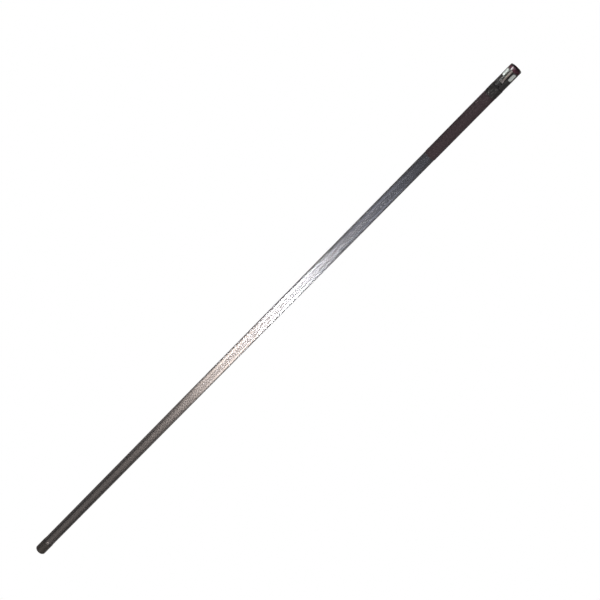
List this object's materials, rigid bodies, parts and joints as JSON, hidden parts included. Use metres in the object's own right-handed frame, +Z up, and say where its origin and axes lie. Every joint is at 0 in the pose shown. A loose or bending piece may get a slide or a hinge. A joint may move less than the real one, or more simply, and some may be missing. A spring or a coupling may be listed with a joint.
{
  "type": "roller extension pole",
  "caption": "Two-section telescopic pole for paint rollers, shown closed: knurled outer tube, sleeve grip, twist-lock collar and a caged quick-release head with a sliding nose ring.",
  "frame": {"origin": "under the middle of the closed pole, on the surface it lies on", "axes": "+X along the pole to the tool end, +Z up, +Y across to the left when looking from the butt to the tool end"},
  "size_m": [1.95, 0.031, 0.031],
  "materials": {
    "anodised_tube": "dark anodised, drawn, with rolled knurled bands",
    "plain_aluminium": "drawn, clear anodised",
    "shrink_sleeve": "matte shrunk polyolefin",
    "black_nylon": "glass-filled nylon, moulded",
    "wine_plastic": "moulded, dark wine red",
    "pad_rubber": "moulded grey, ribbed",
    "white_acetal": "turned acetal",
    "dark_steel": "black oxide",
    "spring_steel": "drawn spring wire and strip",
    "bumper_rubber": "closed-cell foam rubber",
    "wiper_felt": "pressed felt",
    "satin_steel": "rolled stainless strip, satin"
  },
  "bodies": {
    "outer": {"outer_tube": "anodised_tube", "grip_sleeve": "shrink_sleeve", "butt_cap": "black_nylon", "butt_rivets": "dark_steel", "bump_stop": "bumper_rubber", "collet": "black_nylon", "collet_rivets": "dark_steel", "collar_snap_ring": "spring_steel"},
    "collar": {"twist_collar": "black_nylon", "wiper_seal": "wiper_felt"},
    "wedge": {"wedge_ring": "white_acetal"},
    "inner": {"inner_tube": "plain_aluminium", "guide_bush": "white_acetal", "guide_bush_rivets": "dark_steel", "head_body": "black_nylon", "nose_piece": "wine_plastic", "socket_cup": "white_acetal", "head_screws": "dark_steel", "nose_retainer": "spring_steel", "slider_spring": "spring_steel"},
    "slider": {"release_slider": "wine_plastic", "slider_arms": "satin_steel", "thumb_pads": "pad_rubber"}
  },
  "joints": [
    {"name": "inner_slide", "type": "slide", "parent": "outer", "child": "inner", "axis": [1, 0, 0], "range_m": [0, 1.65]},
    {"name": "collar_twist", "type": "hinge", "parent": "outer", "child": "collar", "pos_m": [0.90525, 0, 0.0155], "axis": [1, 0, 0], "range_deg": [0, 90]},
    {"name": "wedge_slide", "type": "slide", "parent": "outer", "child": "wedge", "axis": [1, 0, 0], "range_m": [0, 0.0025]},
    {"name": "release_slide", "type": "slide", "parent": "inner", "child": "slider", "axis": [1, 0, 0], "range_m": [0, 0.003], "stiffness_N_per_m": 600, "springref_m": -0.004, "deforming": ["slider_spring"]}
  ],
  "couplings": [
    {"joint": "wedge_slide", "follows": "collar_twist", "m_per_rad": 0.00159}
  ]
}
